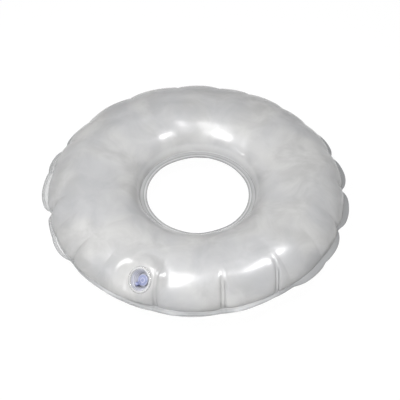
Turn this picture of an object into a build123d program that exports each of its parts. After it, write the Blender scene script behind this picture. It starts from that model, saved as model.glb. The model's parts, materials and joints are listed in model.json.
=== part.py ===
from build123d import *
import os
from math import atan, cos, radians, sin, sqrt, tan

# An inflatable Elizabethan collar: a ring-shaped cushion of clear vinyl film that a dog or cat
# wears round its neck. Two flat annular films are welded along an inner and an outer seam and
# blown up through a push-in air valve on the upper film.
# The origin is on the floor, under the middle of the neck opening. +Z is up, and -Y is the front.

# Air ring
film = 0.4  # thickness of each vinyl film
neck_radius = 58.0
inner_seam_width = 8.0
tube_width = 102.0
tube_height = 66.0
contact_width = 20.0  # width of the band that the tube's underside flattens against the floor

# Outer seam, crease by crease round the ring: the crease's bearing, the seam's width at the crease,
# and its width half way to the next one
seam_creases = [
    (2, 1.0, 6.2),
    (20, 1.2, 6.6),
    (37, 2.4, 5.2),
    (50, 3.8, 6.0),
    (67, 3.0, 6.0),
    (80, 3.4, 6.4),
    (98, 3.0, 6.2),
    (119, 2.8, 6.0),
    (141, 3.0, 5.6),
    (155, 1.2, 7.0),
    (169, 5.2, 7.8),
    (190, 1.0, 2.8),
    (202, 3.8, 5.8),
    (216, 1.0, 2.0),
    (230, 2.6, 3.6),
    (254, 4.4, 6.0),
    (279, 4.4, 4.2),
    (300, 2.6, 3.0),
    (308, 2.2, 7.4),
    (325, 5.4, 6.8),
    (341, 1.0, 6.4),
]

# Where the air valve sits on the tube, and how it leans
valve_bearing = 246.7  # round the ring, anticlockwise from +X
valve_rise = 41.8  # round the tube's section, up from the outer seam
valve_lean = 18.5  # off the film's own normal
lean_turn = 26.0  # from the ring's clockwise tangent towards the outer seam

# Flat pad of film under the valve's flange
pad_margin = 1.0
pad_flank_slope = 1.5
pad_flank_height = 9.0

# Valve flange
flange_width = 3.4
flange_thickness = 0.8
flange_edge_round = 0.5
bead_radius = 0.7

# Bellows, a stepped skirt from the flange down to the stem
recess_radius = 11.6
recess_depth = 9.3
bellows_wall = 0.6
bellows_steps = 3
step_in = 0.7
step_slope_height = 0.6
film_hole_clearance = 0.1
web_gap = 0.05  # between the floor's edge and the stem, where a thin web flexes

# Stem
stem_radius = 5.5
stem_bore_radius = 4.0
stem_above_floor = 2.0
stem_below_floor = 5.0
stem_mouth_chamfer = 0.3

# Plug
cap_radius = 6.25
cap_thickness = 1.5
cap_round = 0.5
dimple_radius = 2.2
dimple_depth = 0.5
pin_length = 5.0
pin_hollow_radius = 2.6
pin_hollow_depth = 4.0
pin_end_chamfer = 0.4
plug_running_gap = 0.05
cap_seat_gap = 0.05

# Tether
tether_width = 3.5
tether_thickness = 0.8
tether_turn = 26.0  # from the valve's low side
tether_overlap = 2.2  # of its upper leg on the cap
tether_clearance = 0.3  # over the bellows' floor and inside its last step

# Check valve
seat_bore_radius = 2.5
seat_thickness = 1.0
flap_radius = 5.0
flap_thickness = 0.5
flap_gap = 0.05
flap_lug_width = 3.0
flap_hinge_radius = 5.2  # from the valve's axis to the web on its high side

# Ring, worked out
seam_height = tube_height / 2 * sqrt(1 - (contact_width / tube_width) ** 2)
centre_radius = neck_radius + inner_seam_width + tube_width / 2
outer_weld_radius = centre_radius + tube_width / 2
seam_plane = Plane.XY.offset(seam_height)

# Valve frame: its origin is on the pad's outer face, z points out of the ring, and x runs to the
# side that lies lowest.
rise = radians(valve_rise)
outward = Vector(cos(radians(valve_bearing)), sin(radians(valve_bearing)), 0)
clockwise = Vector(outward.Y, -outward.X, 0)
film_normal = (
    outward * (cos(rise) / tube_width) + Vector(0, 0, 1) * (sin(rise) / tube_height)
).normalized()
towards_seam = film_normal.cross(clockwise)
lean_direction = clockwise * cos(radians(lean_turn)) + towards_seam * sin(radians(lean_turn))
valve_normal = film_normal * cos(radians(valve_lean)) + lean_direction * sin(radians(valve_lean))
valve_low_side = lean_direction * cos(radians(valve_lean)) - film_normal * sin(radians(valve_lean))
valve_point = (
    outward * (centre_radius + tube_width / 2 * cos(rise))
    + Vector(0, 0, seam_height + tube_height / 2 * sin(rise))
)
valve_plane = Plane(origin=valve_point, x_dir=valve_low_side, z_dir=valve_normal)
valve_axis = Axis(valve_point, valve_normal)
valve_section = Plane(origin=valve_point, x_dir=valve_low_side, z_dir=valve_low_side.cross(valve_normal))

# Valve levels, measured along the valve's axis from the pad's outer face
pad_radius = recess_radius + flange_width + pad_margin
floor_top = bellows_wall - recess_depth
stem_top = floor_top + stem_above_floor
stem_bottom = -recess_depth - stem_below_floor
cap_bottom = stem_top + cap_seat_gap
cap_top = cap_bottom + cap_thickness
pin_bottom = cap_bottom - pin_length
pin_radius = stem_bore_radius - plug_running_gap
flap_top = stem_bottom - flap_gap


def upper_half(inset):
    """Upper half of the tube as a full body, inset from the film's outer face.

    Film is added or cut away round the valve, up to one flat pad that leans as the valve does.
    """
    corner_shift = inset * tan(atan(pad_flank_slope) / 2)
    flank_run = (pad_flank_height - inset) / pad_flank_slope
    boss_radius = pad_radius - corner_shift
    well_radius = pad_radius + corner_shift
    with BuildPart() as half:
        with BuildSketch(Plane.XZ):
            with Locations((centre_radius, seam_height)):
                Ellipse(tube_width / 2 - inset, tube_height / 2 - inset)
                Rectangle(tube_width, tube_height, align=(Align.CENTER, Align.MAX), mode=Mode.SUBTRACT)
        revolve(axis=Axis.Z)
        with BuildSketch(valve_section):
            boss_corners = [
                (0, -inset),
                (boss_radius, -inset),
                (boss_radius + flank_run, -pad_flank_height),
                (0, -pad_flank_height),
            ]
            Polygon(boss_corners, align=None)
        revolve(axis=valve_axis)
        split(bisect_by=seam_plane, keep=Keep.TOP)
        with BuildSketch(valve_section):
            well_corners = [
                (0, -inset),
                (well_radius, -inset),
                (well_radius + flank_run, pad_flank_height - 2 * inset),
                (0, pad_flank_height - 2 * inset),
            ]
            Polygon(well_corners, align=None)
        revolve(axis=valve_axis, mode=Mode.SUBTRACT)
    return half.part


def on_outer_seam(bearing, width):
    """Point on the outer seam's edge, where the seam has the given width."""
    radius = outer_weld_radius + width
    return (radius * cos(radians(bearing)), radius * sin(radians(bearing)))


# Outline of the outer seam: one arc from crease to crease
first_bearing, first_width, _ = seam_creases[0]
next_creases = [(bearing, width) for bearing, width, _ in seam_creases[1:]]
next_creases.append((first_bearing + 360, first_width))
with BuildSketch() as seam_outline:
    with BuildLine():
        for (start, start_width, middle_width), (end, end_width) in zip(seam_creases, next_creases):
            ThreePointArc(
                on_outer_seam(start, start_width),
                on_outer_seam((start + end) / 2, middle_width),
                on_outer_seam(end, end_width),
            )
    make_face()

# Both seams of one film, flat on the seam plane
with BuildSketch(seam_plane) as seams:
    add(seam_outline.sketch)
    Circle(outer_weld_radius - film, mode=Mode.SUBTRACT)
    Circle(neck_radius + inner_seam_width + film)
    Circle(neck_radius, mode=Mode.SUBTRACT)

# Upper film, with its seams and the hole for the valve
upper_skin = upper_half(0)
air_above = upper_half(film)
with BuildPart() as upper_sheet:
    add(upper_skin)
    add(air_above, mode=Mode.SUBTRACT)
    extrude(seams.sketch, amount=film)
    with BuildSketch(valve_plane):
        Circle(recess_radius + film_hole_clearance)
    extrude(amount=2 * film, both=True, mode=Mode.SUBTRACT)
upper_sheet.part.label = "upper_sheet"

# Lower film, flattened where the ring rests on the floor
with BuildPart() as lower_sheet:
    with BuildSketch(Plane.XZ):
        with Locations((centre_radius, seam_height)):
            Ellipse(tube_width / 2, tube_height / 2)
        with Locations((centre_radius, 0)):
            Rectangle(tube_width, seam_height, align=(Align.CENTER, Align.MIN), mode=Mode.INTERSECT)
        with BuildSketch(mode=Mode.PRIVATE) as air_below:
            with Locations((centre_radius, seam_height)):
                Ellipse(tube_width / 2 - film, tube_height / 2 - film)
            with Locations((centre_radius, film)):
                Rectangle(tube_width, seam_height, align=(Align.CENTER, Align.MIN), mode=Mode.INTERSECT)
        add(air_below.sketch, mode=Mode.SUBTRACT)
    revolve(axis=Axis.Z)
    extrude(seams.sketch, amount=-film)
lower_sheet.part.label = "lower_sheet"

# Flange of the valve, welded flat on the pad, with a rounded bead round its opening
with BuildPart() as valve_flange:
    with BuildSketch(valve_section) as flange_profile:
        with Locations((recess_radius, 0)):
            Rectangle(flange_width, flange_thickness, align=(Align.MIN, Align.MIN))
        outer_corner = flange_profile.vertices().group_by(Axis.X)[-1].sort_by(Axis.Y)[-1]
        fillet(outer_corner, radius=flange_edge_round)
        with Locations((recess_radius + bead_radius, flange_thickness)):
            Circle(bead_radius)
    revolve(axis=valve_axis)
valve_flange.part.label = "valve_flange"

# Bellows: from the flange's opening down in steps to a floor round the stem
floor_line = floor_top - bellows_wall / 2
riser = (-floor_line - bellows_steps * step_slope_height) / (bellows_steps + 1)
wall_line = recess_radius - bellows_wall / 2
level = 0.0
bellows_corners = [(wall_line, flange_thickness)]
for step in range(bellows_steps):
    level -= riser
    bellows_corners.append((wall_line, level))
    level -= step_slope_height
    wall_line -= step_in
    bellows_corners.append((wall_line, level))
bellows_corners.append((wall_line, floor_line))
bellows_corners.append((stem_radius + web_gap, floor_line))
with BuildPart() as valve_bellows:
    with BuildSketch(valve_section):
        with BuildLine():
            Polyline(bellows_corners)
        trace(line_width=bellows_wall)
    revolve(axis=valve_axis)
valve_bellows.part.label = "valve_bellows"

# Stem, the tube that is blown into
with BuildPart() as valve_stem:
    with BuildSketch(valve_section) as stem_profile:
        with Locations((stem_bore_radius, stem_bottom)):
            Rectangle(
                stem_radius - stem_bore_radius, stem_top - stem_bottom, align=(Align.MIN, Align.MIN)
            )
        mouth_corner = stem_profile.vertices().group_by(Axis.X)[0].sort_by(Axis.Y)[-1]
        chamfer(mouth_corner, length=stem_mouth_chamfer)
    revolve(axis=valve_axis)
valve_stem.part.label = "valve_stem"

# Seat at the stem's lower end, which the flap closes from below
with BuildPart() as check_seat:
    with BuildSketch(valve_plane.offset(stem_bottom)):
        Circle(stem_bore_radius)
        Circle(seat_bore_radius, mode=Mode.SUBTRACT)
    extrude(amount=seat_thickness)
check_seat.part.label = "check_seat"

# Non-return flap: a disc, with a lug whose rounded end is the web that it swings on
with BuildPart() as check_flap:
    with BuildSketch(valve_plane.offset(flap_top)):
        Circle(flap_radius)
        Rectangle(flap_hinge_radius, flap_lug_width, align=(Align.MAX, Align.CENTER))
    extrude(amount=-flap_thickness)
    with BuildSketch(valve_section.offset(flap_lug_width / 2)):
        with Locations((-flap_hinge_radius, flap_top - flap_thickness / 2)):
            Circle(flap_thickness / 2)
    extrude(amount=-flap_lug_width)
check_flap.part.label = "check_flap"

# Plug: a cap with a finger dimple on a hollow pin
with BuildPart() as valve_plug:
    with BuildSketch(valve_section) as plug_profile:
        with Locations((0, cap_bottom)):
            Rectangle(cap_radius, cap_thickness, align=(Align.MIN, Align.MIN))
        cap_edge = plug_profile.vertices().group_by(Axis.X)[-1].sort_by(Axis.Y)[-1]
        fillet(cap_edge, radius=cap_round)
        with Locations((0, pin_bottom)):
            Rectangle(pin_radius, pin_length, align=(Align.MIN, Align.MIN))
        pin_edge = plug_profile.vertices().group_by(Axis.Y)[0].sort_by(Axis.X)[-1]
        chamfer(pin_edge, length=pin_end_chamfer)
        with Locations((0, pin_bottom)):
            Rectangle(pin_hollow_radius, pin_hollow_depth, align=(Align.MIN, Align.MIN), mode=Mode.SUBTRACT)
        with Locations((0, cap_top)):
            Rectangle(dimple_radius, dimple_depth, align=(Align.MIN, Align.MAX), mode=Mode.SUBTRACT)
    revolve(axis=valve_axis)
valve_plug.part.label = "valve_plug"

# Tether: a strap that leaves the stem above the bellows' floor and turns back on to the cap
tether_side = valve_plane.x_dir * cos(radians(tether_turn)) + valve_plane.y_dir * sin(radians(tether_turn))
tether_section = Plane(origin=valve_point, x_dir=tether_side, z_dir=tether_side.cross(valve_normal))
lower_leg = floor_top + tether_clearance + tether_thickness / 2
upper_leg = cap_top + tether_thickness / 2
bend_radius = (upper_leg - lower_leg) / 2
last_step_radius = recess_radius - bellows_steps * step_in - bellows_wall
bend_centre = last_step_radius - tether_clearance - tether_thickness / 2 - bend_radius
with BuildPart() as plug_tether:
    with BuildSketch(tether_section):
        with BuildLine() as strap_line:
            Line((cap_radius - tether_overlap, upper_leg), (bend_centre, upper_leg))
            ThreePointArc(
                (bend_centre, upper_leg),
                (bend_centre + bend_radius, (upper_leg + lower_leg) / 2),
                (bend_centre, lower_leg),
            )
            Line((bend_centre, lower_leg), (stem_bore_radius, lower_leg))
        trace(line_width=tether_thickness)
    extrude(amount=tether_width / 2, both=True)
    with BuildSketch(valve_plane.offset(stem_bottom)):
        Circle(stem_radius)
    extrude(amount=stem_top - stem_bottom, mode=Mode.SUBTRACT)
plug_tether.part.label = "plug_tether"

os.makedirs("parts", exist_ok=True)
pieces = [
    upper_sheet,
    lower_sheet,
    valve_flange,
    valve_bellows,
    valve_stem,
    check_seat,
    check_flap,
    valve_plug,
    plug_tether,
]
for piece in pieces:
    export_step(piece.part, f"parts/{piece.part.label}.step")
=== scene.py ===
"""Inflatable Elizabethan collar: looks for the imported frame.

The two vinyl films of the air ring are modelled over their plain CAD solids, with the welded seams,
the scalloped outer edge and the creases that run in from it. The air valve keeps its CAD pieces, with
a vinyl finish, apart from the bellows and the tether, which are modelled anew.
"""

import json
import math

import bmesh
import bpy
import numpy as np
from bpy.props import FloatProperty, FloatVectorProperty, PointerProperty
from mathutils import Matrix, Vector

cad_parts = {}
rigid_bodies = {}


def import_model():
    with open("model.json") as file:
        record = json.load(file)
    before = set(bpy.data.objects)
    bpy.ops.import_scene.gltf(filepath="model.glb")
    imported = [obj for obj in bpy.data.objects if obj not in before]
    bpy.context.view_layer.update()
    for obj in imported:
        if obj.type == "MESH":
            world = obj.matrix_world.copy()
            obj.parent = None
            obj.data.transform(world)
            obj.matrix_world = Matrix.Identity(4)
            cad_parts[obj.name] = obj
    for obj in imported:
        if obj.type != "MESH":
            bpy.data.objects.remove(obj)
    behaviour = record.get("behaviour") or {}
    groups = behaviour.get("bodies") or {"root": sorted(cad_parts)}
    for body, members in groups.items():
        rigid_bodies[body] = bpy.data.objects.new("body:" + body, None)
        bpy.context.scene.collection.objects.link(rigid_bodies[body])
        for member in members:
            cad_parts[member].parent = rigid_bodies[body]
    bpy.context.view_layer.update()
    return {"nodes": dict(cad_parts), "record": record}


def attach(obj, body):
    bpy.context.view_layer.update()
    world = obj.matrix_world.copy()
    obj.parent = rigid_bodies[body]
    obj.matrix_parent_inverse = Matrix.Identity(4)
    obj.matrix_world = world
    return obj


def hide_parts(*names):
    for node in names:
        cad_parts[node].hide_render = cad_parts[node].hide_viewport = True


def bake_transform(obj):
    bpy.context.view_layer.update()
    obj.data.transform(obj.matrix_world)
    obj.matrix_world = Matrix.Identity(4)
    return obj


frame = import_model()

bl_info = {
    "name": "Inflatable Collar",
    "version": (1, 0, 0),
    "blender": (4, 5, 0),
    "location": "View3D > Sidebar > Collar",
    "description": "Models the films, seams and air valve of an inflatable Elizabethan collar",
    "category": "Object",
}

MM = 0.001
mounts = {mount["name"]: mount for mount in frame["record"]["mounts"]}
joints = {joint["name"]: joint for joint in frame["record"]["behaviour"]["joints"]}

# Air ring, from the frame
NECK_RADIUS = mounts["neck_opening"]["dims"]["r_mm"] * MM
SEAM_HEIGHT = mounts["neck_opening"]["pos_m"][2]
CENTRE_RADIUS = mounts["floor_rest"]["pos_m"][0]
TUBE_TOP = 0.0654  # crown of the tube, away from the valve's pad
TUBE_HALF_WIDTH = 0.051
TUBE_HALF_HEIGHT = TUBE_TOP - SEAM_HEIGHT
OUTER_RADIUS = CENTRE_RADIUS + TUBE_HALF_WIDTH  # of the tube, inside the outer seam

# Valve, from the frame
VALVE_AXIS = Vector(joints["valve_pop"]["axis"]).normalized()
VALVE_INLET = Vector(mounts["air_inlet"]["pos_m"])


def node_points(node):
    """The vertices of a CAD node, as an array of points."""
    return np.array([vertex.co for vertex in frame["nodes"][node].data.vertices])


def valve_extent(node):
    """Least and greatest radius, and least and greatest level, of a node about the valve's axis."""
    offsets = node_points(node) - np.array(VALVE_INLET)
    levels = offsets @ np.array(VALVE_AXIS)
    radii = np.linalg.norm(offsets - np.outer(levels, VALVE_AXIS), axis=1)
    return radii.min(), radii.max(), levels.min(), levels.max()


# Pad: the flat ring of film under the valve's flange. Levels are measured from its face.
FLANGE_INNER, FLANGE_OUTER, PAD_LEVEL, _ = valve_extent("valve_flange")
PAD_CENTRE = VALVE_INLET + VALVE_AXIS * PAD_LEVEL
hinge_offset = Vector(joints["flap_open"]["pos_m"]) - PAD_CENTRE
LOW_SIDE = -(hinge_offset - VALVE_AXIS * hinge_offset.dot(VALVE_AXIS)).normalized()
VALVE_MATRIX = Matrix.Translation(PAD_CENTRE) @ Matrix(
    (LOW_SIDE, VALVE_AXIS.cross(LOW_SIDE), VALVE_AXIS)
).transposed().to_4x4()


def outer_seam():
    """The outer seam's edge as the frame has it: bearings in degrees and radii, in order round the ring."""
    points = node_points("upper_sheet")
    radii = np.hypot(points[:, 0], points[:, 1])
    clear_of_tube, fewest_points = 0.5 * MM, 3
    on_edge = radii > OUTER_RADIUS + clear_of_tube
    if on_edge.sum() < fewest_points:
        raise RuntimeError("the outer seam has no edge to cut the films to")
    bearings = np.round(np.degrees(np.arctan2(points[:, 1], points[:, 0])) % 360, 3)[on_edge]
    bearings, first = np.unique(bearings, return_index=True)
    return bearings, radii[on_edge][first]


EDGE_BEARINGS, EDGE_RADII = outer_seam()


class Crease:
    """A crease that runs from the outer seam up the tube.

    Its bearing is in degrees and its depth is a share of the full depth, which also sets how much shade
    is painted into it. climb is how far it runs up the tube's section, and drift how far it strays
    round the ring on the way, both in degrees. folds is the distance between the middles of its two
    folds in millimetres, or 0 for a single fold, and pull is how far it draws the seam in, in
    millimetres. From here to the next crease, swell is the film's share of the full swell and clear
    is how clear the seam is, from 0 to 1; where clear is low, the weld band is also painted darker as
    shade.
    """

    def __init__(self, bearing, depth, climb, drift=0.0, folds=0.0, pull=0.0, swell=0.6, clear=0.0):
        self.bearing = bearing
        self.depth = depth
        self.climb = climb
        self.drift = drift
        self.folds = folds
        self.pull = pull
        self.swell = swell
        self.clear = clear


CREASES = (
    Crease(2, 0.4, 30, pull=2.4),
    Crease(20, 0.4, 34, pull=1.2),
    Crease(37, 0.3, 34, drift=1.0, pull=1.2),
    Crease(50, 0.3, 40, pull=0.8),
    Crease(67, 0.3, 40, drift=-1.0, pull=0.8),
    Crease(80, 0.4, 44, folds=3.0),
    Crease(98, 0.5, 40),
    Crease(119, 0.5, 44, drift=1.0),
    Crease(141, 0.4, 38),
    Crease(155, 0.5, 40, drift=-1.0, pull=2.2, clear=0.8),
    Crease(169, 0.3, 26, clear=1.0),
    Crease(190, 0.7, 30, pull=4.2, clear=0.9),
    Crease(202, 0.3, 24, clear=1.0),
    Crease(216, 0.7, 44, drift=1.0, pull=1.0, clear=0.4),
    Crease(230, 0.4, 34, drift=1.0, swell=0.5, clear=0.25),
    Crease(255.2, 1.0, 72, folds=3.6, swell=0.9, clear=0.2),
    Crease(280.2, 1.0, 56, drift=1.0, folds=4.8, swell=0.1, clear=0.2),
    Crease(301.9, 1.0, 50, drift=3.7, folds=4.2, swell=0.3),
    Crease(308, 0.0, 20, swell=0.4),
    Crease(325, 0.4, 28, drift=1.0),
    Crease(342, 0.5, 26, pull=2.0),
)
CUSP_BEARINGS = np.array([crease.bearing for crease in CREASES], dtype=float)

SMOOTH_ANGLE, CAD_SMOOTH_ANGLE = 50, 35  # degrees up to which an edge looks smooth


class FilmSettings(bpy.types.PropertyGroup):
    """Sizes and colours of the two films."""

    thickness: FloatProperty(
        name="Thickness", description="Thickness of each film", default=0.4 * MM, unit="LENGTH"
    )
    weld_gap: FloatProperty(
        name="Weld gap",
        description="Half the hair's breadth left between the welded films",
        default=0.03 * MM,
        unit="LENGTH",
    )
    bulge: FloatProperty(
        name="Bulge",
        description="How far the tube swells between two creases",
        default=2.5 * MM,
        unit="LENGTH",
    )
    crease_depth: FloatProperty(
        name="Crease depth", description="Depth of the deepest crease", default=2.4 * MM, unit="LENGTH"
    )
    fold_width: FloatProperty(
        name="Fold width", description="Half the width of one fold", default=1.1 * MM, unit="LENGTH"
    )
    valley_width: FloatProperty(
        name="Valley width",
        description="Half the width of the shallow valley round a crease",
        default=6.5 * MM,
        unit="LENGTH",
    )
    ripple: FloatProperty(
        name="Ripple", description="Height of the film's slow waves", default=0.7 * MM, unit="LENGTH"
    )
    seam_wave: FloatProperty(
        name="Seam wave",
        description="Steepness of the outer seam's rise and fall",
        default=0.1,
    )
    seam_droop: FloatProperty(
        name="Seam droop", description="Steepness with which the outer seam hangs down", default=0.16
    )
    pad_blend: FloatProperty(
        name="Pad blend",
        description="Width of the film that runs from the valve's pad into the tube",
        default=13 * MM,
        unit="LENGTH",
    )
    lean: FloatProperty(
        name="Lean",
        description="How far the tube's outer side sits to the left of the neck's middle",
        default=2.1 * MM,
        unit="LENGTH",
    )
    weld_band: FloatProperty(
        name="Weld band", description="Width of the weld along each edge", default=3.4 * MM, unit="LENGTH"
    )
    colour: FloatVectorProperty(
        name="Colour", description="Film colour", default=(0.505, 0.502, 0.496), subtype="COLOR"
    )
    cloudy_colour: FloatVectorProperty(
        name="Cloudy colour",
        description="Film colour in its darker patches",
        default=(0.385, 0.384, 0.38),
        subtype="COLOR",
    )
    tint_colour: FloatVectorProperty(
        name="Tint colour",
        description="Film colour in its bluer patches",
        default=(0.35, 0.357, 0.378),
        subtype="COLOR",
    )
    weld_colour: FloatVectorProperty(
        name="Weld colour",
        description="Colour of the weld bands where they are clear",
        default=(0.32, 0.326, 0.33),
        subtype="COLOR",
    )
    # Painted shade: the darker colour of the weld bands where the seam isn't clear
    weld_shade_colour: FloatVectorProperty(
        name="Dark weld colour",
        description="Colour of the weld bands where they aren't clear",
        default=(0.24, 0.245, 0.25),
        subtype="COLOR",
    )
    # Also the colour of the shade painted into the creases
    line_colour: FloatVectorProperty(
        name="Line colour",
        description="Colour of the weld lines and the creases",
        default=(0.18, 0.185, 0.19),
        subtype="COLOR",
    )
    opacity: FloatProperty(
        name="Opacity", description="Opacity of one face of the film", default=0.62, subtype="FACTOR"
    )
    seam_opacity: FloatProperty(
        name="Seam opacity",
        description="Opacity of the seam where it is fully clear",
        default=0.18,
        subtype="FACTOR",
    )
    roughness: FloatProperty(
        name="Roughness", description="Roughness of the film", default=0.36, subtype="FACTOR"
    )


class ValveSettings(bpy.types.PropertyGroup):
    """Sizes and colours of the air valve."""

    bellows_wall: FloatProperty(
        name="Bellows wall", description="Thickness of the bellows", default=0.6 * MM, unit="LENGTH"
    )
    step_in: FloatProperty(
        name="Bellows step",
        description="How far each step of the bellows goes in",
        default=0.8 * MM,
        unit="LENGTH",
    )
    tether_thickness: FloatProperty(
        name="Tether thickness",
        description="Thickness of the plug's tether",
        default=0.8 * MM,
        unit="LENGTH",
    )
    tether_reach: FloatProperty(
        name="Tether reach",
        description="From the valve's axis to the tether's bend",
        default=8.7 * MM,
        unit="LENGTH",
    )
    tether_crest: FloatProperty(
        name="Tether crest",
        description="Level of the top of the tether's loop, from the pad's face",
        default=-1.8 * MM,
        unit="LENGTH",
    )
    clear_colour: FloatVectorProperty(
        name="Clear vinyl",
        description="Colour of the clear moulding",
        default=(0.76, 0.77, 0.85),
        subtype="COLOR",
    )
    tinted_colour: FloatVectorProperty(
        name="Tinted vinyl",
        description="Colour of the plug and its tether",
        default=(0.23, 0.255, 0.43),
        subtype="COLOR",
    )
    opacity: FloatProperty(
        name="Opacity",
        description="Opacity of one face of the clear moulding",
        default=0.55,
        subtype="FACTOR",
    )
    flange_opacity: FloatProperty(
        name="Flange opacity", description="Opacity of one face of the flange", default=0.3, subtype="FACTOR"
    )
    tinted_opacity: FloatProperty(
        name="Tinted opacity",
        description="Opacity of one face of the plug and its tether",
        default=0.85,
        subtype="FACTOR",
    )


class StageSettings(bpy.types.PropertyGroup):
    """Floor, lamps and camera."""

    floor_size: FloatProperty(
        name="Floor size", description="Side of the floor", default=6.0, unit="LENGTH"
    )
    elevation: FloatProperty(
        name="Camera elevation",
        description="Angle at which the camera looks down",
        default=math.radians(48.15),
        subtype="ANGLE",
    )
    distance: FloatProperty(
        name="Camera distance",
        description="From the camera to the ring's middle",
        default=1.644,
        unit="LENGTH",
    )
    shadow: FloatProperty(
        name="Shadow",
        description="How much of the ring's shadow the white floor shows",
        default=0.06,
        subtype="FACTOR",
    )
    surround: FloatProperty(
        name="Surround", description="Strength of the even light from all round", default=0.04
    )


# ------------------------------------------------------------------------------------- films


def smooth_step(low, high, values):
    """0 below low, 1 above high, and a smooth rise between them. low may be the higher one."""
    share = np.clip((values - low) / (high - low), 0, 1)
    return share * share * (3 - 2 * share)


def bell(offset, width):
    """A smooth bump of height 1 about an offset of 0."""
    return np.exp(-((offset / width) ** 2))


def gap_of(bearings):
    """For each bearing, the index of the cusp before it, and the bearings of both its cusps."""
    index = np.searchsorted(CUSP_BEARINGS, bearings % 360, side="right") - 1
    before = CUSP_BEARINGS[index] - np.where(index < 0, 360, 0)
    after = CUSP_BEARINGS[(index + 1) % len(CUSP_BEARINGS)]
    after = np.where(after <= before, after + 360, after)
    return index, before, after


def film_bearings():
    """Bearings of a film's columns of vertices, closest together at the creases."""
    near_offsets = np.array([0.0, 0.7, 1.4, 2.1, 2.8, 3.6, 4.8, 6.8, 10.0])
    wide_spacing, middle_margin = 3.6, 1.0
    mm_per_degree = math.radians(1) * OUTER_RADIUS / MM
    bearings = []
    next_cusps = np.append(CUSP_BEARINGS[1:], CUSP_BEARINGS[0] + 360)
    for cusp, next_cusp in zip(CUSP_BEARINGS, next_cusps):
        gap = (next_cusp - cusp) * mm_per_degree
        near = near_offsets[near_offsets < gap / 2 - middle_margin]
        plain = gap - 2 * near[-1]
        steps = max(1, round(plain / wide_spacing))
        offsets = np.concatenate(
            [near, near[-1] + plain * np.arange(1, steps) / steps, gap - near[:0:-1]]
        )
        bearings.append(cusp + offsets / mm_per_degree)
    return np.concatenate(bearings)


def section_angles(first_height):
    """Angles of a film's rows up and over the tube's section, from its outer to its inner foot."""
    fine = np.radians(np.linspace(0, 180, 2001))
    across, up = TUBE_HALF_WIDTH * np.cos(fine), TUBE_HALF_HEIGHT * np.sin(fine)
    arc = np.concatenate([[0], np.cumsum(np.hypot(np.diff(across), np.diff(up)))])
    start = np.arcsin(first_height / TUBE_HALF_HEIGHT)
    low, high = np.interp([start, math.pi - start], fine, arc)
    foot = np.array([0, 0.5, 1.1, 1.8, 2.6, 3.5, 4.6, 6.0]) * MM
    close = np.arange(8, 72, 2.2) * MM  # as far up as most creases run
    wide_rows = 18
    rest = (high - low) - (close[-1] + foot[-1])
    wide = close[-1] + rest * np.arange(1, wide_rows + 1) / wide_rows
    arcs = np.concatenate([low + foot, low + close, low + wide[:-1], (high - foot[::-1])])
    return np.interp(arcs, arc, fine)


# Slow waves of the films: how many round the ring, how many across the film, and their phase.
# Each is lower than the one before it, and WAVE_LEVEL brings their sum back to about 1.
WAVES = ((3, 1.2, 0.4), (5, 2.1, 2.0), (8, 1.4, 4.1), (11, 3.0, 1.3), (17, 2.4, 5.2), (23, 4.0, 3.1))
WAVE_DROP, WAVE_LEVEL = 0.35, 2.6


def slow_waves(bearings, angles, turn):
    """Gentle waves over a film, of a height of about 1, by bearing and angle in radians."""
    waves = np.zeros(np.broadcast(bearings, angles).shape)
    for number, (around, across, phase) in enumerate(WAVES):
        wave = np.sin(around * bearings + across * angles + phase + turn * (number + 1))
        waves += wave / (1 + WAVE_DROP * number)
    return waves / WAVE_LEVEL


def offset_from(crease, bearings):
    """How far round the ring each bearing is from a crease, in metres at the tube's outer side."""
    away = (bearings - math.radians(crease.bearing) + math.pi) % (2 * math.pi) - math.pi
    return away * OUTER_RADIUS


def crease_fold(crease, offset, width):
    """The sharp part of a crease: two folds, or one with a slight ridge at its side."""
    if crease.folds:
        half_gap = crease.folds / 2 * MM
        return bell(offset - half_gap, width) + bell(offset + half_gap, width)
    ridge, ridge_offset, ridge_width = 0.22, 3.0 * MM, 1.3 * width
    return bell(offset, width) - ridge * bell(offset - ridge_offset, ridge_width)


def crease_lips(offset):
    """The small bulges beside a crease's upper end, with a dent between them."""
    dent, dent_width = 0.16, 2.2 * MM
    bulge, bulge_offset, bulge_width = 0.2, 5 * MM, 2.6 * MM
    return (
        dent * bell(offset, dent_width)
        - bulge * bell(offset - bulge_offset, bulge_width)
        - bulge * bell(offset + bulge_offset, bulge_width)
    )


def crease_relief(bearings, angles, settings, below):
    """How far the film stands in, in metres, at the creases, and the strength of the shade painted there."""
    fold_share, valley_share = 0.62, 0.5
    fold_fade, valley_fade, valley_past, lip_spread = 14, 25, 6, 7  # degrees about a crease's upper end
    degrees = np.degrees(angles)
    depth = np.zeros(np.broadcast(bearings, angles).shape)
    strength = np.zeros_like(depth)
    foot = 0.55 + 0.45 * smooth_step(0, 10, degrees)
    for number, crease in enumerate(CREASES):
        share, climb = crease.depth, crease.climb
        if below:  # shorter, by more or less, and shallower
            climb *= 0.8 + 0.15 * math.sin(2.3 * number)
            share *= 0.85
        offset = offset_from(crease, bearings)
        along = 1 - smooth_step(climb - fold_fade, climb, degrees)
        fold = crease_fold(crease, offset, settings.fold_width)
        valley = valley_share * bell(offset, settings.valley_width)
        valley = valley * (1 - smooth_step(climb - valley_fade, climb + valley_past, degrees))
        lips = bell(degrees - climb, lip_spread) * crease_lips(offset)
        depth += settings.crease_depth * share * (fold_share * share * fold * along * foot + valley + lips)
        strength = np.maximum(strength, share * share * fold * along)
    return depth, strength


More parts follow.
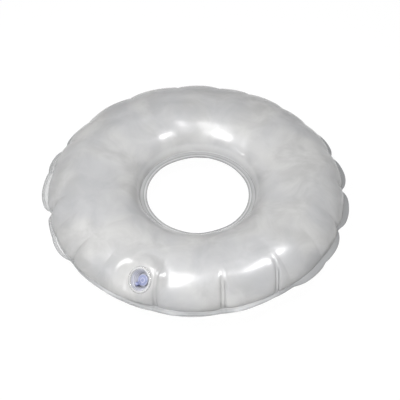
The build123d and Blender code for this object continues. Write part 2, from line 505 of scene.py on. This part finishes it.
def panel_swell(bearings, angles, settings):
    """How far the film stands out between the creases, in metres."""
    usual_gap, least, most, drawn_in, at_foot = 20, 0.6, 1.2, 0.3, 0.4
    degrees, up = np.degrees(bearings) % 360, np.degrees(angles)
    index, before, after = gap_of(degrees)
    swell = np.array([crease.swell for crease in CREASES])[index]
    degrees = np.where(degrees < before, degrees + 360, degrees)
    share = np.clip((degrees - before) / (after - before), 0, 1)
    width = np.clip((after - before) / usual_gap, least, most)
    arch = np.sin(math.pi * share) * width * swell - drawn_in
    fade = at_foot + (1 - at_foot) * smooth_step(5, 35, up) - smooth_step(35, 85, up)
    return settings.bulge * arch * np.maximum(fade, 0)


def drifted(bearings, angles):
    """Bearings after the creases' drift round the ring, which fades between creases and at the crown."""
    drifts = np.array([crease.drift for crease in CREASES])
    wrapped_cusps = np.concatenate([[CUSP_BEARINGS[-1] - 360], CUSP_BEARINGS, [CUSP_BEARINGS[0] + 360]])
    wrapped_drifts = np.concatenate([[drifts[-1]], drifts, [drifts[0]]])
    drift = np.interp(np.degrees(bearings) % 360, wrapped_cusps, wrapped_drifts)
    up = np.degrees(angles)
    rise = smooth_step(0, 62, up) * (1 - smooth_step(75, 150, up))
    return bearings + np.radians(drift) * rise


def seam_pull(bearings):
    """How far the creases draw the outer seam in, in metres."""
    pull = np.zeros(bearings.shape)
    for crease in CREASES:
        pull += crease.pull * MM * bell(offset_from(crease, bearings), 6 * MM)
    return pull


def seam_tilt(bearings, settings):
    """How steeply the outer seam rises, below 0 where it hangs down."""
    wave = np.sin(7 * bearings + 0.6) + 0.8 * np.sin(13 * bearings + 2.1) + 0.7 * np.sin(29 * bearings + 4.0)
    return settings.seam_wave * wave - settings.seam_droop


def neck_tilt(bearings):
    """How steeply the neck's seam rises."""
    return 0.05 * np.sin(5 * bearings + 1.0) + 0.03 * np.sin(9 * bearings)


# Where the rows of the two seams lie, as shares of the way from the tube to the seam's edge
OUTER_SEAM_ROWS = np.array([1, 0.93, 0.85, 0.75, 0.62, 0.48, 0.32, 0.16])[:, None]
NECK_SEAM_ROWS = np.array([0.08, 0.2, 0.34, 0.48, 0.6, 0.74, 0.88, 1])[:, None]


def film_grid(settings, below):
    """Points of a film's outer face as rows by columns, with the distances that its seams follow.

    The rows run from the outer edge up the tube, over it and in to the neck's edge.
    """
    sign = -1 if below else 1
    lift = settings.thickness + settings.weld_gap
    bearings = np.radians(film_bearings())[None, :]
    angles = section_angles(lift)[:, None]
    up = np.degrees(angles)
    outward = np.cos(angles) / TUBE_HALF_WIDTH
    upward = np.sin(angles) / TUBE_HALF_HEIGHT
    length = np.hypot(outward, upward)
    relief, crease_shade = crease_relief(bearings, angles, settings, below)
    fade = smooth_step(0, 12, up) * smooth_step(180, 160, up)
    waves = settings.ripple * slow_waves(bearings, angles, 1.7 if below else 0.0) * fade
    stand = panel_swell(bearings, angles, settings) - relief + waves
    pull = seam_pull(bearings[0])
    radius = CENTRE_RADIUS + TUBE_HALF_WIDTH * np.cos(angles) + stand * outward / length
    radius = radius - pull * (1 - smooth_step(0, 60, up))
    height = np.maximum(TUBE_HALF_HEIGHT * np.sin(angles) + stand * upward / length, lift)

    edge = np.interp(np.degrees(bearings[0]) % 360, EDGE_BEARINGS, EDGE_RADII, period=360) - pull
    seam_radius = radius[0] + OUTER_SEAM_ROWS * (edge - radius[0])
    seam_height = lift + sign * seam_tilt(bearings, settings) * (seam_radius - radius[0])
    neck_radius = radius[-1] + NECK_SEAM_ROWS * (NECK_RADIUS - radius[-1])
    neck_height = lift + sign * neck_tilt(bearings) * (radius[-1] - neck_radius)

    all_radius = np.concatenate([seam_radius, radius, neck_radius])
    all_height = np.concatenate([seam_height, height, neck_height])
    on_seam, on_neck = np.zeros_like(seam_radius), np.zeros_like(neck_radius)
    turned = np.concatenate([on_seam + bearings, drifted(bearings, angles), on_neck + bearings])
    aside = settings.lean * smooth_step(NECK_RADIUS, OUTER_RADIUS, all_radius)
    points = np.stack(
        [
            all_radius * np.cos(turned) - aside,
            all_radius * np.sin(turned),
            SEAM_HEIGHT + sign * all_height,
        ],
        axis=-1,
    )
    run = np.linalg.norm(np.diff(points, axis=0), axis=-1)
    from_edge = np.concatenate([np.zeros((1, run.shape[1])), np.cumsum(run, axis=0)])
    clear = np.array([crease.clear for crease in CREASES])[gap_of(np.degrees(bearings[0]))[0]]
    return points, {
        "outer_edge": from_edge / MM,
        "outer_weld": (from_edge[len(OUTER_SEAM_ROWS)] - from_edge) / MM,
        "neck_edge": (from_edge[-1] - from_edge) / MM,
        "crease": np.concatenate([on_seam + crease_shade[0], crease_shade, on_neck]),
        "clear": np.broadcast_to(clear, all_radius.shape),
    }


def seat_on_pad(points, settings):
    """Moves the points near the valve on to the flat pad under its flange, and gives their radii there."""
    offsets = points - np.array(PAD_CENTRE)
    levels = offsets @ np.array(VALVE_AXIS)
    beside = offsets - levels[..., None] * np.array(VALVE_AXIS)
    radii = np.linalg.norm(beside, axis=-1)
    pad_radius = FLANGE_OUTER + 1 * MM
    over_seam, far_off = SEAM_HEIGHT + 2 * MM, 1.0
    flat = 1 - smooth_step(pad_radius, pad_radius + settings.pad_blend, radii)
    near = np.linalg.norm(offsets, axis=-1) < pad_radius + 2 * settings.pad_blend
    flat = np.where(near & (points[..., 2] > over_seam), flat, 0)
    return points - (flat * levels)[..., None] * np.array(VALVE_AXIS), np.where(near, radii, far_off)


def film_mesh(name, settings, below):
    """A film as a mesh object with its thickness, its seam distances kept as attributes."""
    points, distances = film_grid(settings, below)
    rows, columns = points.shape[:2]
    if below:
        turn = 0.5 * MM  # how softly the film turns on to the floor
        height = points[..., 2]
        points[..., 2] = 0.5 * (height + np.sqrt(height**2 + turn**2))
    else:
        points, radii = seat_on_pad(points, settings)
    number = np.arange(rows * columns).reshape(rows, columns)
    beyond = np.roll(number, -1, axis=1)
    quads = np.stack([number[:-1], beyond[:-1], beyond[1:], number[1:]], axis=-1).reshape(-1, 4)
    if below:
        quads = quads[:, ::-1]
    else:
        hole_radius = (FLANGE_INNER + FLANGE_OUTER) / 2 - 0.4 * MM
        ragged_edge = 1.2 * MM
        quads = quads[(radii.reshape(-1)[quads] > hole_radius - ragged_edge).all(axis=1)]
    mesh = bpy.data.meshes.new(name)
    mesh.from_pydata(points.reshape(-1, 3).tolist(), [], quads.tolist())
    for label, values in distances.items():
        attribute = mesh.attributes.new(label, "FLOAT", "POINT")
        attribute.data.foreach_set("value", values.reshape(-1).astype(np.float32))
    shape = bmesh.new()
    shape.from_mesh(mesh)
    bmesh.ops.delete(shape, geom=[v for v in shape.verts if not v.link_faces], context="VERTS")
    if not below:
        round_off_hole(shape, hole_radius)
    shape.to_mesh(mesh)
    shape.free()
    film = linked_object(name, mesh)
    wall = film.modifiers.new("Wall", "SOLIDIFY")
    wall.thickness = settings.thickness
    wall.offset = -1
    wall.use_even_offset = True
    wall.thickness_clamp = 1.0
    bpy.ops.object.modifier_apply(modifier=wall.name)
    bpy.ops.object.shade_smooth_by_angle(angle=math.radians(SMOOTH_ANGLE))
    return film


def round_off_hole(shape, hole_radius):
    """Draws the ragged edge left under the valve's flange on to one circle."""
    for vertex in shape.verts:
        offset = vertex.co - PAD_CENTRE
        beside = offset - VALVE_AXIS * offset.dot(VALVE_AXIS)
        if vertex.is_boundary and offset.length < FLANGE_OUTER + 2 * MM:
            vertex.co = PAD_CENTRE + beside.normalized() * hole_radius


# --------------------------------------------------------------------------- mesh and shader helpers


def smooth_line(points, steps):
    """A smooth line through all the points, with so many steps between two of them."""
    points = np.array(points)
    ends = np.concatenate([[2 * points[0] - points[1]], points, [2 * points[-1] - points[-2]]])
    share = np.arange(steps)[:, None] / steps
    line = []
    for before, start, end, after in zip(ends, ends[1:], ends[2:], ends[3:]):
        slope_in, slope_out = (end - before) / 2, (after - start) / 2
        line.extend(
            (2 * share**3 - 3 * share**2 + 1) * start
            + (share**3 - 2 * share**2 + share) * slope_in
            + (3 * share**2 - 2 * share**3) * end
            + (share**3 - share**2) * slope_out
        )
    return np.array([*line, points[-1]])


def linked_object(name, mesh):
    """A new object with a mesh, in the scene, and the only one selected."""
    piece = bpy.data.objects.new(name, mesh)
    bpy.context.scene.collection.objects.link(piece)
    select_only(piece)
    return piece


def wall_and_edges(piece, thickness, edge, segments, corner, even=False):
    """Gives a moulded surface its wall, softens the edges that turn by more than corner, and smooths it."""
    wall = piece.modifiers.new("Wall", "SOLIDIFY")
    wall.thickness = thickness
    wall.offset = 0
    wall.use_even_offset = even
    soft = piece.modifiers.new("Soft edges", "BEVEL")
    soft.width = edge
    soft.segments = segments
    soft.limit_method = "ANGLE"
    soft.angle_limit = math.radians(corner)
    for modifier in (wall, soft):
        bpy.ops.object.modifier_apply(modifier=modifier.name)
    bpy.ops.object.shade_smooth_by_angle(angle=math.radians(SMOOTH_ANGLE))


def select_only(piece):
    """Deselects everything else and makes the piece active."""
    for other in bpy.context.scene.objects:
        other.select_set(False)
    piece.select_set(True)
    bpy.context.view_layer.objects.active = piece


def add_node(tree, kind, inputs=None, **settings):
    """Adds a shader node. Each input is a number, a colour or the socket that feeds it."""
    new = tree.nodes.new(kind)
    for setting, value in settings.items():
        setattr(new, setting, value)
    for socket, value in (inputs or {}).items():
        if isinstance(value, bpy.types.NodeSocket):
            tree.links.new(value, new.inputs[socket])
        else:
            new.inputs[socket].default_value = value
    return new


def add_math(tree, operation, first, second=0.0):
    """A Math node's result."""
    return add_node(tree, "ShaderNodeMath", {0: first, 1: second}, operation=operation).outputs[0]


def add_ramp(tree, value, low, high, at_low=0.0, at_high=1.0):
    """A smooth change from at_low to at_high as the value goes from low to high."""
    inputs = {"Value": value, "From Min": low, "From Max": high, "To Min": at_low, "To Max": at_high}
    return add_node(tree, "ShaderNodeMapRange", inputs, interpolation_type="SMOOTHSTEP").outputs["Result"]


def add_mix(tree, share, first, second, kind="RGBA"):
    """A mix of two colours or, with kind FLOAT, of two numbers."""
    mix = tree.nodes.new("ShaderNodeMix")
    mix.data_type = kind
    first_input, second_input, result = {"RGBA": (6, 7, 2), "FLOAT": (2, 3, 0)}[kind]
    for position, value in zip((0, first_input, second_input), (share, first, second)):
        if isinstance(value, bpy.types.NodeSocket):
            tree.links.new(value, mix.inputs[position])
        else:
            mix.inputs[position].default_value = value
    return mix.outputs[result]


def add_lines(tree, colour, alpha, lines):
    """Draws lines over a colour and makes them opaque.

    Each line is a distance, the line's middle and half its width, its colour and how strongly it covers.
    """
    for distance, middle, half, line_colour, cover in lines:
        off_middle = add_math(tree, "ABSOLUTE", add_math(tree, "SUBTRACT", distance, middle))
        on_line = add_ramp(tree, off_middle, half, 0.4 * half, 0.0, cover)
        colour = add_mix(tree, on_line, colour, rgba(line_colour))
        alpha = add_math(tree, "MAXIMUM", alpha, on_line)
    return colour, alpha


def rgba(colour):
    """A colour with full alpha."""
    return (*colour, 1.0)


VINYL_IOR = 1.53


def cloudy_vinyl_group():
    """Shader group: the cloudy patches and slight unevenness of soft vinyl."""
    group = bpy.data.node_groups.get("Cloudy vinyl")
    if group:
        return group
    group = bpy.data.node_groups.new("Cloudy vinyl", "ShaderNodeTree")
    face = group.interface
    for label, default in (
        ("Clear colour", (0.5, 0.5, 0.5, 1)),
        ("Cloudy colour", (0.45, 0.45, 0.45, 1)),
        ("Tint colour", (0.45, 0.45, 0.45, 1)),
    ):
        face.new_socket(label, in_out="INPUT", socket_type="NodeSocketColor").default_value = default
    for label, default in (("Patch scale", 9.0), ("Grain scale", 300.0)):
        face.new_socket(label, in_out="INPUT", socket_type="NodeSocketFloat").default_value = default
    for label, kind in (("Colour", "Color"), ("Haze", "Float"), ("Height", "Float")):
        face.new_socket(label, in_out="OUTPUT", socket_type="NodeSocket" + kind)
    given = group.nodes.new("NodeGroupInput").outputs
    place = add_node(group, "ShaderNodeTexCoord").outputs["Object"]
    tint_scale = add_math(group, "MULTIPLY", given["Patch scale"], 0.7)

    def noise(scale, detail, inputs=None, **settings):
        inputs = {"Vector": place, "Scale": scale, "Detail": detail, **(inputs or {})}
        return add_node(group, "ShaderNodeTexNoise", inputs, **settings).outputs[0]

    patches = noise(given["Patch scale"], 4.0, {"Roughness": 0.55, "Distortion": 0.6})
    tints = noise(tint_scale, 2.0, {"W": 3.0}, noise_dimensions="4D")
    grain = noise(given["Grain scale"], 2.0)
    haze = add_ramp(group, patches, 0.32, 0.68)
    tint = add_ramp(group, tints, 0.35, 0.65, 0.0, 0.5)
    colour = add_mix(group, haze, given["Clear colour"], given["Cloudy colour"])
    height = add_math(group, "ADD", add_math(group, "MULTIPLY", grain, 0.3), patches)
    out = group.nodes.new("NodeGroupOutput").inputs
    group.links.new(add_mix(group, tint, colour, given["Tint colour"]), out["Colour"])
    group.links.new(haze, out["Haze"])
    group.links.new(height, out["Height"])
    return group


def new_material(name):
    """An empty material and its node tree."""
    material = bpy.data.materials.new(name)
    material.use_nodes = True
    material.node_tree.nodes.clear()
    return material, material.node_tree


def finish_material(tree, sockets):
    """Ends a material in one Principled shader with the given sockets."""
    shader = add_node(tree, "ShaderNodeBsdfPrincipled", sockets)
    output = tree.nodes.new("ShaderNodeOutputMaterial")
    tree.links.new(shader.outputs[0], output.inputs["Surface"])


def cloudy_vinyl(tree, clear, cloudy, tint, patch_scale, grain_scale):
    """Places the shared vinyl group in a material and gives its outputs."""
    inputs = {
        "Clear colour": rgba(clear),
        "Cloudy colour": rgba(cloudy),
        "Tint colour": rgba(tint),
        "Patch scale": patch_scale,
        "Grain scale": grain_scale,
    }
    return add_node(tree, "ShaderNodeGroup", inputs, node_tree=cloudy_vinyl_group()).outputs


def add_spread(tree, haze, spread, middle):
    """A number that the haze moves by half the spread to either side of its middle."""
    return add_math(tree, "ADD", add_math(tree, "MULTIPLY", haze, spread), middle - spread / 2)


def add_bump(tree, height, strength, distance):
    """The normal of a surface with a height over it."""
    inputs = {"Height": height, "Strength": strength, "Distance": distance}
    return add_node(tree, "ShaderNodeBump", inputs).outputs[0]


def film_vinyl(settings):
    """Frosted clear film: grey weld bands, clear strips beside them and dark lines along the welds.

    The seams follow the film's attributes, which are distances in millimetres, apart from crease and
    clear, which go from 0 to 1. The creases get painted shade by their strength, and the weld bands are
    painted darker as shade where the seam isn't clear. The slope by the neck is lightened with painted
    light, and a pale line on the neck's weld is a painted highlight.
    """
    material, tree = new_material("film vinyl")
    vinyl = cloudy_vinyl(tree, settings.colour, settings.cloudy_colour, settings.tint_colour, 30.0, 420.0)

    def attribute(label):
        return add_node(tree, "ShaderNodeAttribute", attribute_name=label).outputs["Fac"]

    outer_edge, outer_weld, neck_edge = (attribute(at) for at in ("outer_edge", "outer_weld", "neck_edge"))
    crease, clear = attribute("crease"), attribute("clear")
    band = settings.weld_band / MM
    on_seam = add_ramp(tree, outer_weld, -0.1, 0.4)
    on_band = add_math(tree, "MULTIPLY", on_seam, add_ramp(tree, outer_edge, band + 0.3, band - 0.3))

    # The weld band is painted darker as shade where the seam isn't clear
    weld = add_mix(
        tree, add_ramp(tree, clear, 0.0, 0.2), rgba(settings.weld_shade_colour), rgba(settings.weld_colour)
    )
    welded = add_math(tree, "MAXIMUM", on_band, add_math(tree, "MULTIPLY", on_seam, 0.75))
    # Painted shade in the creases, in the line colour, as strong as the crease
    crease_shade = add_math(tree, "MULTIPLY", crease, 0.25)
    colour = add_mix(tree, welded, vinyl["Colour"], weld)
    colour = add_mix(tree, crease_shade, colour, rgba(settings.line_colour))

    seam_opacity = add_mix(tree, clear, 0.8, settings.seam_opacity, "FLOAT")
    band_opacity = add_mix(tree, clear, 0.9, 0.3, "FLOAT")
    alpha = add_mix(tree, on_seam, settings.opacity, seam_opacity, "FLOAT")
    alpha = add_mix(tree, on_band, alpha, band_opacity, "FLOAT")

    dark, weld_grey = settings.line_colour, settings.weld_colour
    painted_light, pale = (0.66, 0.66, 0.66), (0.8, 0.8, 0.8)
    lines = (
        (outer_edge, 0.3, 1.1, dark, 0.45),
        (outer_edge, band, 0.5, dark, 0.25),
        (outer_weld, 0.0, 0.9, dark, 0.12),
        # Lighter grey from 4 to 22 mm from the neck's edge: painted light on the tube's slope there
        (neck_edge, 13.0, 9.0, painted_light, 0.4),
        (neck_edge, 4.0, 4.4, weld_grey, 0.6),
        (neck_edge, 0.2, 1.1, dark, 0.75),
        # Pale line on the neck's weld: a painted highlight
        (neck_edge, 2.4, 0.8, pale, 0.35),
        (neck_edge, 3.9, 0.7, dark, 0.55),
        (neck_edge, 7.7, 0.7, dark, 0.5),
        (neck_edge, 8.9, 0.8, pale, 0.5),
    )
    colour, alpha = add_lines(tree, colour, alpha, lines)
    shadow_loss = 0.55  # the share of its shadow that the film doesn't throw
    to_lamp = add_node(tree, "ShaderNodeLightPath").outputs["Is Shadow Ray"]
    kept = add_math(tree, "SUBTRACT", 1.0, add_math(tree, "MULTIPLY", to_lamp, shadow_loss))
    sockets = {
        "Base Color": colour,
        "Roughness": add_spread(tree, vinyl["Haze"], 0.08, settings.roughness),
        "Alpha": add_math(tree, "MULTIPLY", alpha, kept),
        "Normal": add_bump(tree, vinyl["Height"], 0.25, 0.8 * MM),
        "IOR": VINYL_IOR,
        "Specular IOR Level": 0.75,
        "Coat Weight": 0.8,
        "Coat Roughness": 0.17,
    }
    finish_material(tree, sockets)
    return material


def moulded_vinyl(name, colour, opacity, rings=()):
    """Glossy moulded vinyl in a colour and with its own opacity.

    Each ring is drawn about the valve's axis: its radius and half its width in millimetres, its
    colour and how strongly it covers.
    """
    material, tree = new_material(name)
    patch_colour = [0.8 * part for part in colour]
    vinyl = cloudy_vinyl(tree, colour, patch_colour, colour, 140.0, 1500.0)
    shade = vinyl["Colour"]
    alpha = add_spread(tree, vinyl["Haze"], 0.1, opacity)
    if rings:
        radius = valve_radius(tree)
        shade, alpha = add_lines(tree, shade, alpha, [(radius, *ring) for ring in rings])
    sockets = {
        "Base Color": shade,
        "Roughness": add_spread(tree, vinyl["Haze"], 0.06, 0.13),
        "Alpha": alpha,
        "Normal": add_bump(tree, vinyl["Height"], 0.06, 0.5 * MM),
        "IOR": VINYL_IOR,
    }
    finish_material(tree, sockets)
    return material


def valve_radius(tree):
    """Distance from the valve's axis, in millimetres, at each point of a material."""

    def vector_math(operation, inputs, output="Vector"):
        return add_node(tree, "ShaderNodeVectorMath", inputs, operation=operation).outputs[output]

    place = add_node(tree, "ShaderNodeTexCoord").outputs["Object"]
    offset = vector_math("SUBTRACT", {0: place, 1: PAD_CENTRE})
    beside = vector_math("CROSS_PRODUCT", {0: offset, 1: VALVE_AXIS})
    metres = vector_math("LENGTH", {0: beside}, "Value")
    return add_math(tree, "MULTIPLY", metres, 1 / MM)


# ------------------------------------------------------------------------------------- operators


class COLLAR_OT_films(bpy.types.Operator):
    """Models the upper and lower film of the air ring"""

    bl_idname = "collar.films"
    bl_label = "Films"

    def execute(self, context):
        settings = context.scene.collar_films
        vinyl = film_vinyl(settings)
        for name, node, below in (
            ("upper_film", "upper_sheet", False),
            ("lower_film", "lower_sheet", True),
        ):
            film = film_mesh(name, settings, below)
            film.data.materials.append(vinyl)
            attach(film, "ring")
            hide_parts(node)
        return {"FINISHED"}


class COLLAR_OT_bellows(bpy.types.Operator):
    """Models the stepped bellows between the valve's flange and its stem"""

    bl_idname = "collar.bellows"
    bl_label = "Bellows"

    def execute(self, context):
        settings = context.scene.collar_valve
        inner, outer, bottom, top = valve_extent("valve_bellows")
        half_wall = settings.bellows_wall / 2
        bottom, top = bottom - PAD_LEVEL + half_wall, top - PAD_LEVEL
        steps, slope = 3, settings.bellows_wall
        riser = (-bottom - steps * slope) / (steps + 1)
        stations = [(outer - half_wall, top), (outer - half_wall, -riser)]
        for _ in range(steps):
            radius, level = stations[-1]
            stations.append((radius - settings.step_in, level - slope))
            stations.append((radius - settings.step_in, level - slope - riser))
        stations.append((inner, bottom))
        bpy.ops.object.select_all(action="DESELECT")
        radius, level = stations[0]
        bpy.ops.mesh.primitive_circle_add(vertices=72, radius=radius, location=(0, 0, level))
        bellows = context.object
        bellows.name = bellows.data.name = "bellows"
        bpy.ops.object.mode_set(mode="EDIT")
        for (radius, level), (next_radius, next_level) in zip(stations, stations[1:]):
            bpy.ops.mesh.extrude_region_move(TRANSFORM_OT_translate={"value": (0, 0, next_level - level)})
            scale = next_radius / radius
            bpy.ops.transform.resize(value=(scale, scale, 1), center_override=(0, 0, next_level))
        bpy.ops.mesh.select_all(action="SELECT")
        bpy.ops.mesh.normals_make_consistent(inside=False)
        bpy.ops.object.mode_set(mode="OBJECT")
        wall_and_edges(bellows, settings.bellows_wall, 0.22 * MM, segments=2, corner=25, even=True)
        bellows.data.transform(VALVE_MATRIX)
        bellows.matrix_world = Matrix.Identity(4)
        # Dark rings painted as shade in the corners of the bellows' steps
        shaded = (0.34, 0.35, 0.42)
        rings = [((radius - half_wall) / MM, 0.28, shaded, 0.55) for radius, _ in stations[1::2]]
        vinyl = moulded_vinyl("bellows vinyl", settings.clear_colour, settings.opacity, rings)
        bellows.data.materials.append(vinyl)
        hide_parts("valve_bellows")
        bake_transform(bellows)
        return {"FINISHED"}


class COLLAR_OT_tether(bpy.types.Operator):
    """Models the strap that keeps the plug on the stem"""

    bl_idname = "collar.tether"
    bl_label = "Tether"

    def execute(self, context):
        settings = context.scene.collar_valve
        points = node_points("plug_tether") - np.array(PAD_CENTRE)
        levels = points @ np.array(VALVE_AXIS)
        beside = points - np.outer(levels, VALVE_AXIS)
        side = Vector(beside.mean(axis=0)).normalized()
        across = VALVE_AXIS.cross(side)
        width = np.ptp(points @ np.array(across))
        half = settings.tether_thickness / 2
        low, high = levels.min() + half, levels.max() - half
        cap_end = (points[levels > (low + high) / 2] @ np.array(side)).min()
        stem_side = valve_extent("valve_stem")[1]
        reach, crest = settings.tether_reach, settings.tether_crest
        route = (
            (cap_end, high),
            (cap_end + 1.2 * MM, high),
            (reach - 2.2 * MM, crest - 1.0 * MM),
            (reach - 0.8 * MM, crest),
            (reach, crest - 1.2 * MM),
            (reach - 0.1 * MM, (crest + low) / 2),
            (reach - 0.9 * MM, low + 0.6 * MM),
            (reach - 2.4 * MM, low),
            (stem_side + 0.1 * MM, low),
        )
        line = smooth_line(route, 6)
        offsets = np.linspace(-width / 2, width / 2, 5)
        points = [(x, offset, level) for x, level in line for offset in offsets]
        columns = len(offsets)
        quads = [
            (first, first + 1, first + columns + 1, first + columns)
            for row in range(len(line) - 1)
            for first in range(row * columns, row * columns + columns - 1)
        ]
        mesh = bpy.data.meshes.new("tether")
        mesh.from_pydata(points, [], quads)
        tether = linked_object("tether", mesh)
        wall_and_edges(tether, settings.tether_thickness, 0.2 * MM, segments=3, corner=60)
        frame_matrix = Matrix((side, across, VALVE_AXIS)).transposed().to_4x4()
        tether.data.transform(Matrix.Translation(PAD_CENTRE) @ frame_matrix)
        tether.matrix_world = Matrix.Identity(4)
        vinyl = moulded_vinyl("tether vinyl", settings.tinted_colour, settings.tinted_opacity)
        tether.data.materials.append(vinyl)
        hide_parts("plug_tether")
        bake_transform(tether)
        return {"FINISHED"}


class COLLAR_OT_valve_finish(bpy.types.Operator):
    """Gives the valve's moulded pieces their vinyl"""

    bl_idname = "collar.valve_finish"
    bl_label = "Valve finish"

    def execute(self, context):
        settings = context.scene.collar_valve
        clear = moulded_vinyl("valve vinyl", settings.clear_colour, settings.opacity)
        # The pale rings on the plug are painted glints
        pale = (0.78, 0.8, 0.92)
        painted_glints = ((2.4, 0.4, pale, 0.6), (5.9, 0.45, pale, 0.5))
        tinted = moulded_vinyl("plug vinyl", settings.tinted_colour, settings.tinted_opacity, painted_glints)
        grey, white = (0.36, 0.36, 0.37), (0.88, 0.88, 0.9)
        rings = (
            (14.9, 0.3, grey, 0.35),
            (13.9, 0.4, grey, 0.45),
            (12.8, 0.8, white, 0.5),
            (11.7, 0.35, grey, 0.5),
        )
        finishes = {
            "valve_flange": moulded_vinyl("flange vinyl", (0.6, 0.6, 0.6), settings.flange_opacity, rings),
            "valve_stem": clear,
            "check_seat": clear,
            "check_flap": clear,
            "valve_plug": tinted,
        }
        for node, material in finishes.items():
            piece = frame["nodes"][node]
            piece.data.materials.clear()
            piece.data.materials.append(material)
            select_only(piece)
            bpy.ops.object.shade_smooth_by_angle(angle=math.radians(CAD_SMOOTH_ANGLE))
        return {"FINISHED"}


# Lamps: their place from the ring's middle and their two sides in millimetres, their power in watts and
# whether glossy surfaces reflect them
LAMPS = (
    ("left_lamp", (-271, -256, 663), (350, 400), 4.6, True),
    ("right_lamp", (337, -107, 682), (120, 110), 1.9, True),
    ("overhead_softbox", (-150, -130, 1400), (400, 540), 4.9, True),
    ("front_softbox", (-60, -1400, 500), (700, 420), 9.0, False),
    ("valve_lamp", (-850, -310, 400), (90, 90), 0.4, True),
)


class COLLAR_OT_stage(bpy.types.Operator):
    """Sets the floor, the lamps and the camera"""

    bl_idname = "collar.stage"
    bl_label = "Stage"

    def execute(self, context):
        settings = context.scene.collar_stage
        scene = context.scene
        scene.view_settings.view_transform = "Standard"
        bpy.ops.object.select_all(action="DESELECT")
        bpy.ops.mesh.primitive_plane_add(size=settings.floor_size, location=(0, 0, 0))
        floor = context.object
        floor.name = "floor"
        floor.data.materials.append(floor_paper(settings.shadow))
        white_surround(scene, settings.surround)
        ring_middle = Vector((0, 0, SEAM_HEIGHT))
        for name, place, size, power, reflected in LAMPS:
            size = [side * MM for side in size]
            add_lamp(name, ring_middle + Vector(place) * MM, ring_middle, size, power, reflected)
        scene.camera = aimed_camera(settings, ring_middle)
        return {"FINISHED"}


def add_lamp(name, place, target, size, power, reflected):
    """An oval area lamp aimed at a point, which glossy surfaces reflect or not."""
    bpy.ops.object.light_add(type="AREA", location=place)
    lamp = bpy.context.object
    lamp.name = name
    lamp.data.energy = power
    lamp.data.shape = "ELLIPSE"
    lamp.data.size, lamp.data.size_y = size
    lamp.visible_glossy = reflected
    lamp.rotation_euler = (target - place).to_track_quat("-Z", "Y").to_euler()


def seen_directly(tree):
    """1 where something is seen by the camera, in a reflection or through a surface, and 0 as light."""
    path = add_node(tree, "ShaderNodeLightPath").outputs
    seen = add_math(tree, "MAXIMUM", path["Is Camera Ray"], path["Is Glossy Ray"])
    return add_math(tree, "MAXIMUM", seen, path["Is Transmission Ray"])


def floor_paper(shadow):
    """White floor that still shows a share of the object's shadow."""
    material, tree = new_material("floor paper")
    paper = add_node(tree, "ShaderNodeBsdfDiffuse", {"Color": (0.9, 0.9, 0.9, 1)})
    white = add_node(tree, "ShaderNodeEmission", {"Color": (1, 1, 1, 1), "Strength": 1.02})
    share = add_math(tree, "MULTIPLY", seen_directly(tree), 1 - shadow)
    mix = add_node(tree, "ShaderNodeMixShader", {0: share, 1: paper.outputs[0], 2: white.outputs[0]})
    output = tree.nodes.new("ShaderNodeOutputMaterial")
    tree.links.new(mix.outputs[0], output.inputs["Surface"])
    return material


def white_surround(scene, strength):
    """A world that is white to look at and lights the object at a plain level."""
    world = bpy.data.worlds.new("surround")
    scene.world = world
    world.use_nodes = True
    tree = world.node_tree
    tree.nodes.clear()
    level = add_mix(tree, seen_directly(tree), strength, 1.0, "FLOAT")
    light = add_node(tree, "ShaderNodeBackground", {"Color": (1, 1, 1, 1), "Strength": level})
    output = tree.nodes.new("ShaderNodeOutputWorld")
    tree.links.new(light.outputs[0], output.inputs["Surface"])


def aimed_camera(settings, ring_middle):
    """The camera, looking down at the ring from its front."""
    to_right, upwards = 2.5 * MM, -6.5 * MM  # of the camera, so that the ring sits a little off its middle
    rise = settings.elevation
    back = Vector((0, -math.cos(rise), math.sin(rise)))
    up = Vector((0, math.sin(rise), math.cos(rise)))
    place = ring_middle + back * settings.distance + Vector((to_right, 0, 0)) + up * upwards
    bpy.ops.object.camera_add(location=place, rotation=(math.pi / 2 - rise, 0, 0))
    camera = bpy.context.object
    camera.data.lens = 129.9
    camera.data.sensor_width = 36
    camera.data.clip_start = 0.01
    return camera


class COLLAR_PT_panel(bpy.types.Panel):
    """Lists the collar's pieces and their settings"""

    bl_idname = "COLLAR_PT_panel"
    bl_label = "Inflatable Collar"
    bl_space_type = "VIEW_3D"
    bl_region_type = "UI"
    bl_category = "Collar"

    def draw(self, context):
        layout = self.layout
        for operator in STEPS:
            layout.operator(operator.bl_idname)
        scene = context.scene
        for group in (scene.collar_films, scene.collar_valve, scene.collar_stage):
            box = layout.box()
            for setting in group.__annotations__:
                box.prop(group, setting)


STEPS = (COLLAR_OT_films, COLLAR_OT_bellows, COLLAR_OT_tether, COLLAR_OT_valve_finish, COLLAR_OT_stage)
CLASSES = (FilmSettings, ValveSettings, StageSettings, *STEPS, COLLAR_PT_panel)


def register():
    for cls in CLASSES:
        bpy.utils.register_class(cls)
    bpy.types.Scene.collar_films = PointerProperty(type=FilmSettings)
    bpy.types.Scene.collar_valve = PointerProperty(type=ValveSettings)
    bpy.types.Scene.collar_stage = PointerProperty(type=StageSettings)


def unregister():
    del bpy.types.Scene.collar_stage
    del bpy.types.Scene.collar_valve
    del bpy.types.Scene.collar_films
    for cls in reversed(CLASSES):
        bpy.utils.unregister_class(cls)


def main():
    register()
    bpy.ops.collar.films()
    bpy.ops.collar.bellows()
    bpy.ops.collar.tether()
    bpy.ops.collar.valve_finish()
    bpy.ops.collar.stage()


if __name__ == "__main__":
    main()
